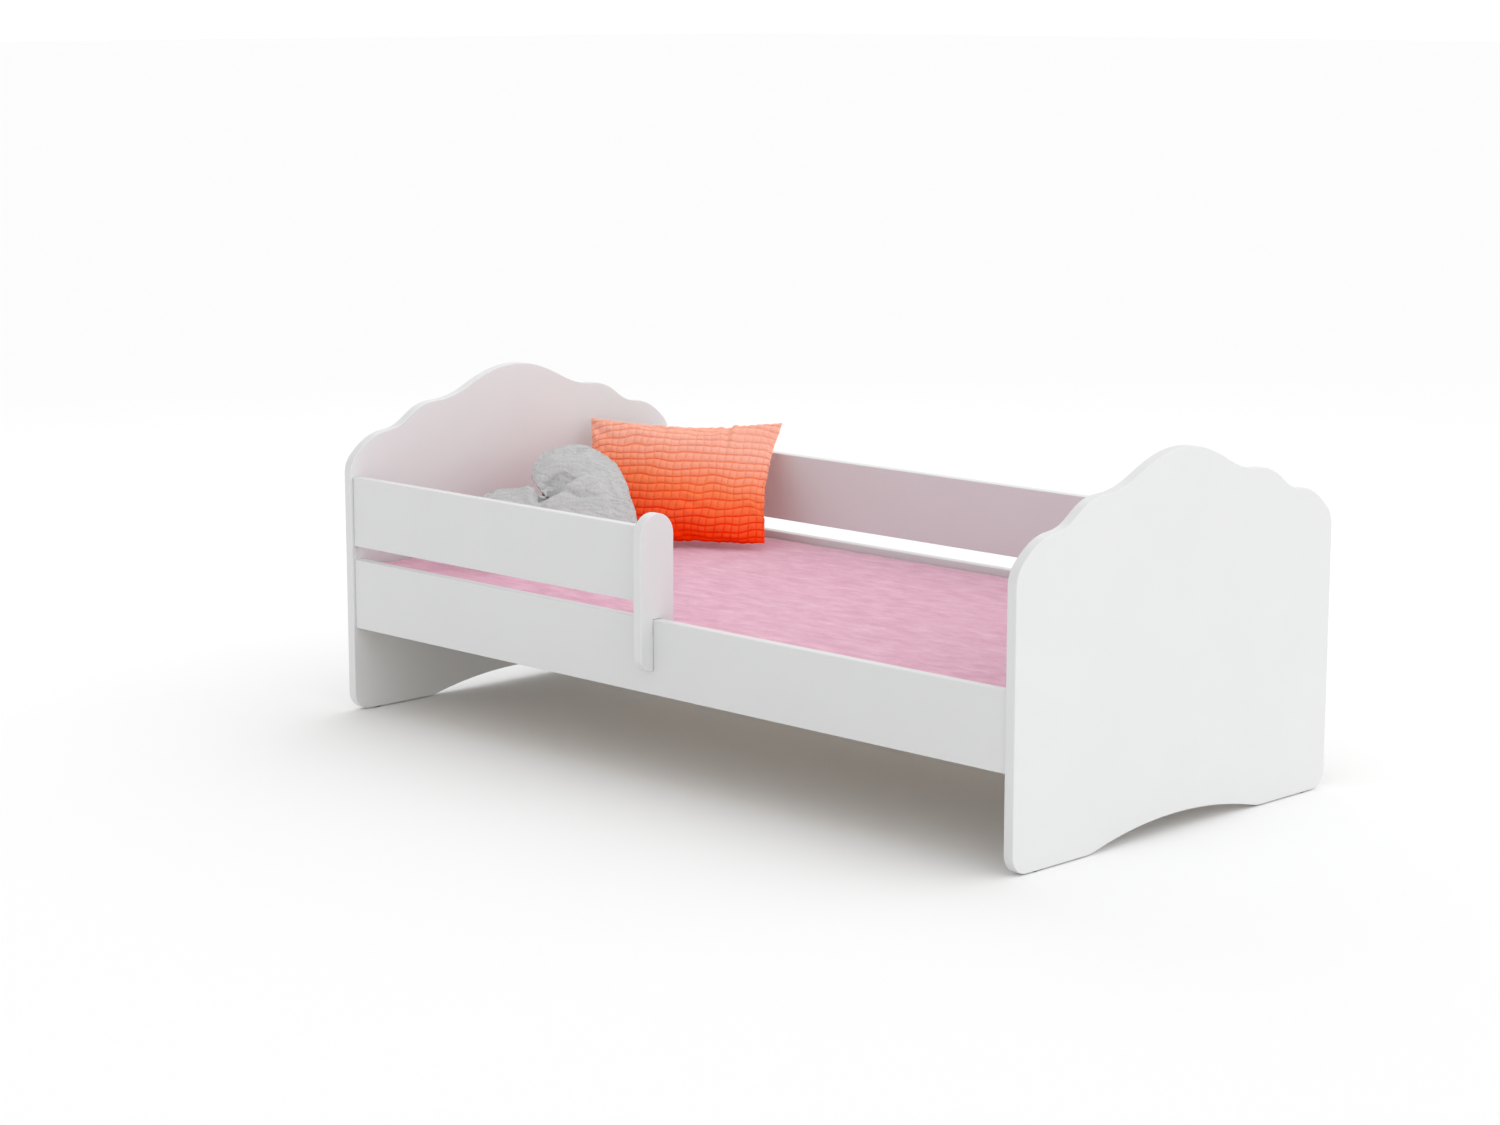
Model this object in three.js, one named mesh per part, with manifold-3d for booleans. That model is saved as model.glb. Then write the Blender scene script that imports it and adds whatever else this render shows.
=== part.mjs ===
// Toddler bed with cloud-topped end panels, a half-length guard, a slatted base, a mattress and
// two loose pillows. Millimetres, +Z up, +X from the headboard to the footboard, front at -Y.
// The bed is drawn from the headboard's outer face (X), the panels' front edge (Y) and the
// underside of the panels (Z); one outer group then moves it to the middle of its own footprint.

import * as THREE from 'three';
import { mergeVertices } from 'three/addons/utils/BufferGeometryUtils.js';
import Module from 'manifold-3d';

// ---------------------------------------------------------------- driving dimensions

const LENGTH = 1717;            // headboard's outer face to footboard's outer face
const WIDTH = 850;              // end panels, front edge to rear edge
const BOARD = 20;               // thickness of every board
const GAP = 0.3;                // what touching pieces keep between them
const PANEL_TOP = 653.5;        // crown of the end panels
const RAIL_HEIGHT = 136;        // every rail board
const RAIL_SETBACK = 5;         // rail faces sit this far inside the panels' edges
const LOWER_RAIL_Z = 165.5;     // underside of the lower rails
const UPPER_RAIL_Z = 328.3;     // underside of the guards
const POST_X = 855;             // guard post's face on the guard's side
const POST_WIDTH = 80;
const POST_TOP = 491;
const POST_FOOT = 208;
const LEDGER = { width: 25, height: 16, z: 166 };
const SLAT = { count: 12, width: 80, thickness: 10 };
const TAPE = { width: 25, thickness: 1.2, inset: 190 };
const MATTRESS_TOP = 290.5;
const MATTRESS_EDGE = 1.5;      // room left round the mattress
const POST_NOTCH_ROOM = 3;      // room left round the post where it presses into the mattress
const GLIDE = { radius: 8, thickness: 2, inset: 60, nail: 1.2, nailLength: 12 };
const DOWEL = { radius: 4, length: 30, depth: 10 };
const CAM = { radius: 7.4, depth: 14, fromEnd: 24, channel: 3.7 };
const BORE_ROOM = 0.3;          // radial clearance round dowels, bolts, cams and screws

const INNER = LENGTH - 2 * BOARD;
const RAIL_REAR = WIDTH - RAIL_SETBACK;
const FRONT_AXIS = RAIL_SETBACK + BOARD / 2;
const REAR_AXIS = RAIL_REAR - BOARD / 2;
const POST_FRONT = FRONT_AXIS - POST_WIDTH / 2;
const POST_BACK = FRONT_AXIS + POST_WIDTH / 2;
const SLAT_Z = LEDGER.z + LEDGER.height + GAP;
const TAPE_Z = SLAT_Z + SLAT.thickness + GAP;
const MATTRESS_Z = TAPE_Z + TAPE.thickness + GAP;

// ---------------------------------------------------------------- materials

function finish(color, roughness, metalness = 0) {
  return new THREE.MeshStandardMaterial({ color, roughness, metalness });
}

const WHITE_BOARD = finish(0xececec, 0.45);
const PINE = finish(0xd9b98a, 0.7);
const BEECH = finish(0xcfa877, 0.7);
const WEBBING = finish(0xe8e4da, 0.9);
const ZINC = finish(0xa9abae, 0.4, 0.9);
const STEEL = finish(0xb9bcc0, 0.35, 1);
const BLACK_PLASTIC = finish(0x1c1c1e, 0.5);
const PINK_PLUSH = finish(0xe6b4c8, 0.95);
const ORANGE_QUILT = finish(0xff6a2c, 0.85);
const GREY_LINEN = finish(0xc3c6c7, 0.9);

// ---------------------------------------------------------------- solids

const wasm = await Module();
wasm.setup();

function toSolid(geometry) {
  const bare = geometry.clone();
  bare.deleteAttribute('normal');
  bare.deleteAttribute('uv');
  const merged = mergeVertices(bare, 1e-4);
  return new wasm.Manifold(new wasm.Mesh({
    numProp: 3,
    vertProperties: new Float32Array(merged.attributes.position.array),
    triVerts: new Uint32Array(merged.index.array),
  }));
}

function fromSolid(solid) {
  const mesh = solid.getMesh();
  const geometry = new THREE.BufferGeometry();
  geometry.setAttribute('position', new THREE.BufferAttribute(mesh.vertProperties, 3));
  geometry.setIndex(new THREE.BufferAttribute(mesh.triVerts, 1));
  geometry.computeVertexNormals();
  return geometry;
}

function cut(geometry, tools) {
  let solid = toSolid(geometry);
  for (const tool of tools) {
    solid = solid.subtract(toSolid(tool));
  }
  return fromSolid(solid);
}

function block(x0, x1, y0, y1, z0, z1) {
  const box = new THREE.BoxGeometry(x1 - x0, y1 - y0, z1 - z0);
  return box.translate((x0 + x1) / 2, (y0 + y1) / 2, (z0 + z1) / 2);
}

const SIDES = 12;               // facets round every bore, dowel and screw

// A rod from x0 to x1 along X, and one from y0 to y1 along Y.
function rodX(x0, x1, y, z, radius) {
  const rod = new THREE.CylinderGeometry(radius, radius, x1 - x0, SIDES).rotateZ(-Math.PI / 2);
  return rod.translate((x0 + x1) / 2, y, z);
}

function rodY(x, y0, y1, z, radius) {
  return new THREE.CylinderGeometry(radius, radius, y1 - y0, SIDES).translate(x, (y0 + y1) / 2, z);
}

// Turns a profile of [radius, height] points about its axis, then lays the axis along +X.
function turnedX(profile) {
  const points = profile.map(([radius, height]) => new THREE.Vector2(radius, height));
  return new THREE.LatheGeometry(points, SIDES).rotateZ(-Math.PI / 2);
}

// ---------------------------------------------------------------- outlines

// A cubic through two points, each with the direction in degrees that the edge runs there.
function edgeTo(path, from, to) {
  const reach = 0.36 * Math.hypot(to.y - from.y, to.z - from.z);
  const out = THREE.MathUtils.degToRad(from.turn);
  const back = THREE.MathUtils.degToRad(to.turn);
  path.bezierCurveTo(
    from.y + reach * Math.cos(out), from.z + reach * Math.sin(out),
    to.y - reach * Math.cos(back), to.z - reach * Math.sin(back),
    to.y, to.z,
  );
}

// Left half of an end panel: arch over the floor, rounded toe, straight edge, cloud top.
const ARCH = { height: 29.5, radius: 900, fillet: 100 };
const TOE_RADIUS = 35;
const CLOUD = [
  { y: 0, z: 469, turn: 90 },
  { y: 14, z: 506, turn: 46 },
  { y: 96, z: 548.5, turn: 3 },
  { y: 152, z: 573.5, turn: 37 },
  { y: 217, z: 596, turn: 1 },
  { y: 300, z: 618, turn: 26.5 },
  { y: WIDTH / 2, z: PANEL_TOP, turn: 0 },
];

function panelShape() {
  const middle = WIDTH / 2;
  const archCentre = ARCH.height - ARCH.radius;
  const footEnd = middle - Math.sqrt((ARCH.radius + ARCH.fillet) ** 2 - (ARCH.fillet - archCentre) ** 2);
  const lean = Math.atan2(ARCH.fillet - archCentre, middle - footEnd);
  const half = new THREE.Path();
  half.moveTo(middle, ARCH.height);
  half.absarc(middle, archCentre, ARCH.radius, Math.PI / 2, Math.PI - lean, false);
  half.absarc(footEnd, ARCH.fillet, ARCH.fillet, -lean, -Math.PI / 2, true);
  half.lineTo(TOE_RADIUS, 0);
  half.absarc(TOE_RADIUS, TOE_RADIUS, TOE_RADIUS, -Math.PI / 2, -Math.PI, true);
  half.lineTo(CLOUD[0].y, CLOUD[0].z);
  for (let i = 1; i < CLOUD.length; i += 1) {
    edgeTo(half, CLOUD[i - 1], CLOUD[i]);
  }
  const left = half.getPoints(6);
  const right = left.slice(1, -1).reverse().map((point) => new THREE.Vector2(WIDTH - point.x, point.y));
  return new THREE.Shape([...left, ...right]);
}

// Extrudes an outline drawn in (Y, Z) along +X.
function sheetX(shape, x0, x1) {
  const sheet = new THREE.ExtrudeGeometry(shape, { depth: x1 - x0, bevelEnabled: false, curveSegments: 8 });
  const turn = new THREE.Matrix4().makeBasis(
    new THREE.Vector3(0, 1, 0), new THREE.Vector3(0, 0, 1), new THREE.Vector3(1, 0, 0),
  );
  return sheet.applyMatrix4(turn).translate(x0, 0, 0);
}

// The guard post straddles the front rail: a rounded board with a slot up from its foot.
const POST_TOE = 26;

function postShape() {
  const slotFront = RAIL_SETBACK - GAP;
  const slotBack = RAIL_SETBACK + BOARD + GAP;
  const slotTop = LOWER_RAIL_Z + RAIL_HEIGHT + GAP;
  const radius = POST_WIDTH / 2;
  const shape = new THREE.Shape();
  shape.moveTo(slotFront, POST_FOOT);
  shape.lineTo(slotFront, slotTop);
  shape.lineTo(slotBack, slotTop);
  shape.lineTo(slotBack, POST_FOOT);
  shape.absarc(POST_BACK - POST_TOE, POST_FOOT + POST_TOE, POST_TOE, -Math.PI / 2, 0, false);
  shape.absarc(FRONT_AXIS, POST_TOP - radius, radius, 0, Math.PI, false);
  shape.absarc(POST_FRONT + POST_TOE, POST_FOOT + POST_TOE, POST_TOE, Math.PI, 1.5 * Math.PI, false);
  shape.closePath();
  return shape;
}

// ---------------------------------------------------------------- where the joints go

// Every rail end is held by one cam with its bolt and is kept from turning by one dowel.
const RAILS = {
  front_rail: { axis: FRONT_AXIS, z: LOWER_RAIL_Z, cam: 0.5, dowel: 0.22, inward: 1 },
  rear_rail: { axis: REAR_AXIS, z: LOWER_RAIL_Z, cam: 0.5, dowel: 0.22, inward: -1 },
  front_guard: { axis: FRONT_AXIS, z: UPPER_RAIL_Z, cam: 0.32, dowel: 0.75, inward: 1 },
  rear_guard: { axis: REAR_AXIS, z: UPPER_RAIL_Z, cam: 0.32, dowel: 0.75, inward: -1 },
};
const HEAD_END = { name: 'head', face: BOARD, along: 1 };
const FOOT_END = { name: 'foot', face: LENGTH - BOARD, along: -1 };

const joints = [];
for (const [rail, spec] of Object.entries(RAILS)) {
  for (const end of rail === 'front_guard' ? [HEAD_END] : [HEAD_END, FOOT_END]) {
    joints.push({
      rail,
      end,
      axis: spec.axis,
      inward: spec.inward,
      camZ: spec.z + spec.cam * RAIL_HEIGHT,
      dowelZ: spec.z + spec.dowel * RAIL_HEIGHT,
    });
  }
}

const BOLT = { thread: 2.6, neck: 2.4, head: 3.2, depth: 10 };
const POST_DOWELS_Z = [UPPER_RAIL_Z + 0.25 * RAIL_HEIGHT, UPPER_RAIL_Z + 0.75 * RAIL_HEIGHT];
const POST_SCREWS_Z = [228, 274];
const POST_SCREW = { shank: 3.1, head: 4.8, headLength: 3, length: 64, sunk: 1 };
const LEDGER_SCREW = { shank: 1.9, head: 3.8, headLength: 3, length: 38, sunk: 1 };
const LEDGER_SCREWS_X = [300, LENGTH - 300];
const NAIL_INSETS = [GLIDE.inset, WIDTH - GLIDE.inset];

// How deep a screw's head and the cone under it go into the wood.
function sinkDepth({ head, headLength, shank, sunk }) {
  return headLength + sunk + (head - shank) + BORE_ROOM;
}

// The holes that one rail-end joint needs in the panel and in the rail.
function panelHoles(joint) {
  const { face, along } = joint.end;
  const deep = face - along * (BOLT.depth + 1);
  const ends = [Math.min(deep, face + along), Math.max(deep, face + along)];
  return [
    rodX(ends[0], ends[1], joint.axis, joint.camZ, BOLT.thread + BORE_ROOM),
    rodX(ends[0], ends[1], joint.axis, joint.dowelZ, DOWEL.radius + BORE_ROOM),
  ];
}

function railHoles(joint) {
  const { face, along } = joint.end;
  const inner = joint.axis + joint.inward * BOARD / 2;
  const camEnds = [inner + joint.inward, inner - joint.inward * CAM.depth].sort((a, b) => a - b);
  const camX = face + along * CAM.fromEnd;
  const dowelX = face + along * (DOWEL.length - DOWEL.depth + 1);
  const boltEnds = [face - along, camX].sort((a, b) => a - b);
  const dowelEnds = [face - along, dowelX].sort((a, b) => a - b);
  return [
    rodX(boltEnds[0], boltEnds[1], joint.axis, joint.camZ, BOLT.head + BORE_ROOM),
    rodY(camX, camEnds[0], camEnds[1], joint.camZ, CAM.radius + BORE_ROOM),
    rodX(dowelEnds[0], dowelEnds[1], joint.axis, joint.dowelZ, DOWEL.radius + BORE_ROOM),
  ];
}

// ---------------------------------------------------------------- boards

function panel(end) {
  const x0 = end === HEAD_END ? 0 : LENGTH - BOARD;
  const holes = joints.filter((joint) => joint.end === end).flatMap(panelHoles);
  for (const y of NAIL_INSETS) {
    const hole = new THREE.CylinderGeometry(GLIDE.nail + BORE_ROOM, GLIDE.nail + BORE_ROOM, 2 * GLIDE.nailLength, 12);
    holes.push(hole.rotateX(Math.PI / 2).translate(x0 + BOARD / 2, y, 0));
  }
  return cut(sheetX(panelShape(), x0, x0 + BOARD), holes);
}

function postScrewHole(z, back) {
  return rodY(POST_X + BOARD / 2, back - POST_SCREW.length - 1, back + 1, z, POST_SCREW.shank + BORE_ROOM);
}

function ledgerScrewHole(x, ledgerFace, inward) {
  const deep = ledgerFace - inward * (LEDGER_SCREW.length + 1);
  const ends = [deep, ledgerFace + inward].sort((a, b) => a - b);
  return rodY(x, ends[0], ends[1], LEDGER.z + LEDGER.height / 2, LEDGER_SCREW.shank + BORE_ROOM);
}

// Ledgers are screwed to the lower rails' inner faces; `inward` points into the bed.
const LEDGERS = {
  front_ledger: { rail: 'front_rail', back: RAIL_SETBACK + BOARD + GAP, inward: 1 },
  rear_ledger: { rail: 'rear_rail', back: RAIL_REAR - BOARD - GAP, inward: -1 },
};

function railBoard(rail) {
  const spec = RAILS[rail];
  const x1 = rail === 'front_guard' ? POST_X : LENGTH - BOARD;
  const board = block(
    BOARD + GAP, x1 - GAP,
    spec.axis - BOARD / 2, spec.axis + BOARD / 2,
    spec.z, spec.z + RAIL_HEIGHT,
  );
  const holes = joints.filter((joint) => joint.rail === rail).flatMap(railHoles);
  if (rail === 'front_rail') {
    holes.push(...POST_SCREWS_Z.map((z) => postScrewHole(z, POST_BACK)));
  }
  if (rail === 'front_guard') {
    holes.push(...POST_DOWELS_Z.map((z) => rodX(
      POST_X - DOWEL.length + DOWEL.depth - 1, POST_X + 1, FRONT_AXIS, z, DOWEL.radius + BORE_ROOM,
    )));
  }
  for (const ledger of Object.values(LEDGERS)) {
    if (ledger.rail === rail) {
      const face = ledger.back + ledger.inward * LEDGER.width;
      holes.push(...LEDGER_SCREWS_X.map((x) => ledgerScrewHole(x, face, ledger.inward)));
    }
  }
  return cut(board, holes);
}

function guardPost() {
  const holes = POST_SCREWS_Z.map((z) => postScrewHole(z, POST_BACK));
  for (const z of POST_SCREWS_Z) {
    const seat = POST_BACK - sinkDepth(POST_SCREW);
    holes.push(rodY(POST_X + BOARD / 2, seat, POST_BACK + 1, z, POST_SCREW.head + BORE_ROOM));
  }
  for (const z of POST_DOWELS_Z) {
    holes.push(rodX(POST_X - 1, POST_X + DOWEL.depth + 1, FRONT_AXIS, z, DOWEL.radius + BORE_ROOM));
  }
  return cut(sheetX(postShape(), POST_X, POST_X + BOARD), holes);
}

function ledgerBar(name) {
  const { back, inward } = LEDGERS[name];
  const face = back + inward * LEDGER.width;
  const [y0, y1] = [back, face].sort((a, b) => a - b);
  const bar = block(BOARD + GAP, LENGTH - BOARD - GAP, y0, y1, LEDGER.z, LEDGER.z + LEDGER.height);
  const holes = LEDGER_SCREWS_X.map((x) => ledgerScrewHole(x, face, inward));
  for (const x of LEDGER_SCREWS_X) {
    const ends = [face - inward * sinkDepth(LEDGER_SCREW), face + inward].sort((a, b) => a - b);
    holes.push(rodY(x, ends[0], ends[1], LEDGER.z + LEDGER.height / 2, LEDGER_SCREW.head + BORE_ROOM));
  }
  return cut(bar, holes);
}

// ---------------------------------------------------------------- fittings

const DOWEL_CHAMFER = 1;
const dowelGeometry = turnedX([
  [0, 0], [DOWEL.radius - DOWEL_CHAMFER, 0], [DOWEL.radius, DOWEL_CHAMFER],
  [DOWEL.radius, DOWEL.length - DOWEL_CHAMFER], [DOWEL.radius - DOWEL_CHAMFER, DOWEL.length],
  [0, DOWEL.length],
]);

// Screwed into the panel, with a ball head that the cam grips; x = 0 is the panel's face.
const HEAD_FROM_FACE = 20;
const boltGeometry = turnedX([
  [0, -BOLT.depth], [BOLT.thread - 1, -BOLT.depth], [BOLT.thread, -BOLT.depth + 2],
  [BOLT.thread, 0], [BOLT.neck, 1], [BOLT.neck, HEAD_FROM_FACE],
  [BOLT.head, HEAD_FROM_FACE + 1], [BOLT.head, HEAD_FROM_FACE + 4],
  [BOLT.neck, HEAD_FROM_FACE + 5], [0, HEAD_FROM_FACE + 5],
]);

// A cam lies on its side in its pocket: y = 0 is the rail's inner face, -Y goes into the board.
function camGeometry() {
  const drum = rodY(0, -CAM.depth + GAP, -0.2, 0, CAM.radius);
  const channel = block(
    -CAM.radius - 1, CAM.fromEnd - HEAD_FROM_FACE, -CAM.depth, -BOARD / 2 + CAM.channel,
    -CAM.channel, CAM.channel,
  );
  const slot = block(-5, 5, -2.2, 1, -0.7, 0.7);
  const crossSlot = block(-0.7, 0.7, -2.2, 1, -5, 5);
  return cut(drum, [channel, slot, crossSlot]);
}

function screwGeometry({ shank, head, headLength, length }) {
  return turnedX([
    [0, 0], [0.6, 0], [shank, 3 * shank], [shank, length - headLength - (head - shank)],
    [head, length - headLength], [head, length], [0, length],
  ]);
}

const glideGeometry = turnedX([
  [0, 0], [GLIDE.radius - 0.6, 0], [GLIDE.radius, 0.6], [GLIDE.radius, GLIDE.thickness - GAP],
  [GLIDE.nail, GLIDE.thickness - GAP], [GLIDE.nail, GLIDE.nailLength - 1], [0.3, GLIDE.nailLength + 1],
  [0, GLIDE.nailLength + 1],
]);

// ---------------------------------------------------------------- soft pieces

// Mattress: a rounded slab, notched where the post's inner leg presses into its front edge.
const MATTRESS_CORNER = 12;

function mattress() {
  const x0 = BOARD + MATTRESS_EDGE;
  const x1 = LENGTH - BOARD - MATTRESS_EDGE;
  const y0 = RAIL_SETBACK + BOARD + MATTRESS_EDGE;
  const y1 = RAIL_REAR - BOARD - MATTRESS_EDGE;
  const outline = new THREE.Shape();
  outline.moveTo(x0 + MATTRESS_CORNER, y0);
  outline.lineTo(POST_X - POST_NOTCH_ROOM, y0);
  outline.lineTo(POST_X - POST_NOTCH_ROOM, POST_BACK + POST_NOTCH_ROOM);
  outline.lineTo(POST_X + BOARD + POST_NOTCH_ROOM, POST_BACK + POST_NOTCH_ROOM);
  outline.lineTo(POST_X + BOARD + POST_NOTCH_ROOM, y0);
  outline.absarc(x1 - MATTRESS_CORNER, y0 + MATTRESS_CORNER, MATTRESS_CORNER, -Math.PI / 2, 0, false);
  outline.absarc(x1 - MATTRESS_CORNER, y1 - MATTRESS_CORNER, MATTRESS_CORNER, 0, Math.PI / 2, false);
  outline.absarc(x0 + MATTRESS_CORNER, y1 - MATTRESS_CORNER, MATTRESS_CORNER, Math.PI / 2, Math.PI, false);
  outline.absarc(x0 + MATTRESS_CORNER, y0 + MATTRESS_CORNER, MATTRESS_CORNER, Math.PI, 1.5 * Math.PI, false);
  const slab = new THREE.ExtrudeGeometry(outline, {
    depth: MATTRESS_TOP - MATTRESS_Z, bevelEnabled: false, curveSegments: 4,
  });
  return slab.translate(0, 0, MATTRESS_Z);
}

// A pillow's outline, puffed out between its edges and closed along its seam. `outline(a)` gives
// the seam point at angle a; the two faces swell from it by `puff` over RINGS rings.
const RINGS = 5;

function puffed(outline, around, puff) {
  const points = [];
  const rings = [];
  for (const side of [1, -1]) {
    for (let ring = side === 1 ? 0 : 1; ring < RINGS; ring += 1) {
      const shrink = 1 - ring / RINGS;
      const height = side * puff * Math.sqrt(1 - shrink ** 2.6);
      const first = points.length;
      for (let i = 0; i < around; i += 1) {
        const edge = outline(2 * Math.PI * i / around);
        points.push([edge.x * shrink, edge.y * shrink, height]);
      }
      rings.push({ side, ring, first });
    }
    points.push([0, 0, side * puff]);
  }
  return stitch(points, rings, around);
}

function stitch(points, rings, around) {
  const faces = [];
  for (const side of [1, -1]) {
    const own = rings.filter((ring) => ring.side === side);
    const chain = side === 1 ? own : [rings[0], ...own];
    const crown = side === 1 ? RINGS * around : points.length - 1;
    const turn = (a, b, c) => faces.push(...(side === 1 ? [a, b, c] : [a, c, b]));
    for (let i = 0; i < around; i += 1) {
      const next = (i + 1) % around;
      for (let r = 0; r + 1 < chain.length; r += 1) {
        const outer = chain[r].first;
        const inner = chain[r + 1].first;
        turn(outer + i, outer + next, inner + next);
        turn(outer + i, inner + next, inner + i);
      }
      const last = chain[chain.length - 1].first;
      turn(last + i, last + next, crown);
    }
  }
  const geometry = new THREE.BufferGeometry();
  geometry.setAttribute('position', new THREE.Float32BufferAttribute(points.flat(), 3));
  geometry.setIndex(faces);
  geometry.computeVertexNormals();
  return geometry;
}

// Square-ish pillow with pinched corners: straight seams that pull in a little between corners.
const QUILT = { width: 410, height: 280, puff: 55, pull: 10 };

function quiltOutline(angle) {
  const side = Math.cos(angle);
  const rise = Math.sin(angle);
  const reach = 1 / Math.max(Math.abs(side), Math.abs(rise));
  const u = side * reach;
  const v = rise * reach;
  return {
    x: u * (QUILT.width / 2 - QUILT.pull * (1 - v * v)),
    y: v * (QUILT.height / 2 - QUILT.pull * (1 - u * u)),
  };
}

// Heart outline: two round lobes, a soft cleft between them and one point.
const HEART = { half: 187, puff: 48 };

function heartOutline(angle) {
  const s = Math.sin(angle);
  const x = 16 * s ** 3;
  const y = 13 * Math.cos(angle) - 5 * Math.cos(2 * angle) - 2 * Math.cos(3 * angle) - Math.cos(4 * angle);
  return { x: -x * HEART.half / 16, y: y * HEART.half / 16 };
}

// ---------------------------------------------------------------- assembly

const bed = new THREE.Group();
bed.position.set(-LENGTH / 2, -(POST_FRONT + WIDTH) / 2, GLIDE.thickness);

function add(name, geometry, material) {
  const mesh = new THREE.Mesh(geometry, material);
  mesh.name = name;
  bed.add(mesh);
  return mesh;
}

add('headboard', panel(HEAD_END), WHITE_BOARD);
add('footboard', panel(FOOT_END), WHITE_BOARD);
for (const rail of Object.keys(RAILS)) {
  add(rail, railBoard(rail), WHITE_BOARD);
}
add('guard_post', guardPost(), WHITE_BOARD);
for (const name of Object.keys(LEDGERS)) {
  add(name, ledgerBar(name), PINE);
}

const SLAT_REACH = REAR_AXIS - FRONT_AXIS - BOARD - 2;
const slatGeometry = new THREE.BoxGeometry(SLAT.width, SLAT_REACH, SLAT.thickness);
const slatPitch = (INNER - SLAT.width * SLAT.count) / (SLAT.count + 1) + SLAT.width;
for (let i = 0; i < SLAT.count; i += 1) {
  const slat = add(`slat_${i + 1}`, slatGeometry, PINE);
  slat.position.set(BOARD + slatPitch * (i + 1) - SLAT.width / 2, WIDTH / 2, SLAT_Z + SLAT.thickness / 2);
}

const TAPE_LENGTH = slatPitch * (SLAT.count - 1) + SLAT.width - 10;
const tapeGeometry = new THREE.BoxGeometry(TAPE_LENGTH, TAPE.width, TAPE.thickness);
for (const [name, y] of [['front_slat_tape', TAPE.inset], ['rear_slat_tape', WIDTH - TAPE.inset]]) {
  add(name, tapeGeometry, WEBBING).position.set(LENGTH / 2, y, TAPE_Z + TAPE.thickness / 2);
}

const camShape = camGeometry();
for (const joint of joints) {
  const label = `${joint.rail}_${joint.end.name}`;
  const turnRound = joint.end.along === 1 ? 0 : Math.PI;
  const bolt = add(`${label}_bolt`, boltGeometry, STEEL);
  bolt.position.set(joint.end.face, joint.axis, joint.camZ);
  bolt.rotation.z = turnRound;
  const dowel = add(`${label}_dowel`, dowelGeometry, BEECH);
  dowel.position.set(joint.end.face - joint.end.along * DOWEL.depth, joint.axis, joint.dowelZ);
  dowel.rotation.z = turnRound;
  const cam = add(`${label}_cam`, camShape, ZINC);
  cam.position.set(
    joint.end.face + joint.end.along * CAM.fromEnd,
    joint.axis + joint.inward * BOARD / 2,
    joint.camZ,
  );
  cam.rotation.set(joint.inward === 1 ? 0 : Math.PI, turnRound, 0);
}

POST_DOWELS_Z.forEach((z, i) => {
  const dowel = add(`post_dowel_${i + 1}`, dowelGeometry, BEECH);
  dowel.position.set(POST_X - DOWEL.length + DOWEL.depth, FRONT_AXIS, z);
});
const postScrewShape = screwGeometry(POST_SCREW);
POST_SCREWS_Z.forEach((z, i) => {
  const screw = add(`post_screw_${i + 1}`, postScrewShape, STEEL);
  screw.rotation.z = Math.PI / 2;
  screw.position.set(POST_X + BOARD / 2, POST_BACK - POST_SCREW.sunk - POST_SCREW.length, z);
});

const ledgerScrewShape = screwGeometry(LEDGER_SCREW);
for (const [name, ledger] of Object.entries(LEDGERS)) {
  const face = ledger.back + ledger.inward * LEDGER.width;
  LEDGER_SCREWS_X.forEach((x, i) => {
    const screw = add(`${name}_screw_${i + 1}`, ledgerScrewShape, STEEL);
    screw.rotation.z = ledger.inward * Math.PI / 2;
    const tip = face - ledger.inward * (LEDGER_SCREW.sunk + LEDGER_SCREW.length);
    screw.position.set(x, tip, LEDGER.z + LEDGER.height / 2);
  });
}

for (const end of [HEAD_END, FOOT_END]) {
  for (const [side, y] of [['front', NAIL_INSETS[0]], ['rear', NAIL_INSETS[1]]]) {
    const glide = add(`${end.name}_${side}_glide`, glideGeometry, BLACK_PLASTIC);
    glide.rotation.y = -Math.PI / 2;
    glide.position.set(end.face - end.along * BOARD / 2, y, -GLIDE.thickness);
  }
}

add('mattress', mattress(), PINK_PLUSH);

// Stands a pillow drawn in its own (width, height) plane: spins it in that plane, leans it up from
// the horizontal, turns it about the vertical, and flattens it where it meets the mattress.
function placed(pillow, { x, y, z, heading, lean, spin }) {
  const turn = new THREE.Euler(
    THREE.MathUtils.degToRad(lean), 0, THREE.MathUtils.degToRad(heading), 'ZXY',
  );
  const stood = pillow.rotateZ(THREE.MathUtils.degToRad(spin))
    .applyMatrix4(new THREE.Matrix4().makeRotationFromEuler(turn))
    .translate(x, y, z);
  return cut(stood, [block(0, LENGTH, 0, WIDTH, 0, MATTRESS_TOP + GAP)]);
}

const AROUND = 48;

// The quilted pillow stands on the mattress and leans back into the corner.
const QUILT_PLACE = { x: 257, y: 649, z: 416, heading: 31.6, lean: 53, spin: 0.6 };
add('quilted_pillow', placed(puffed(quiltOutline, AROUND, QUILT.puff), QUILT_PLACE), ORANGE_QUILT);

// The heart pillow lies in front of it on its point, one lobe higher than the other.
const HEART_PLACE = { x: 274, y: 333, z: 390, heading: 64, lean: 35, spin: 37 };
add('heart_pillow', placed(puffed(heartOutline, AROUND, HEART.puff), HEART_PLACE), GREY_LINEN);

const toddlerBed = new THREE.Group();
toddlerBed.add(bed);

export default toddlerBed;
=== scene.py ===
# Toddler bed: white boards with cloud-topped ends, a half-length guard, a slatted base, a pink
# plush mattress and two loose pillows. The sections follow the bed as it is put together.

import bmesh
import bpy
import math
import numpy as np
from mathutils import Matrix, Vector, noise
from mathutils.geometry import delaunay_2d_cdt


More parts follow.
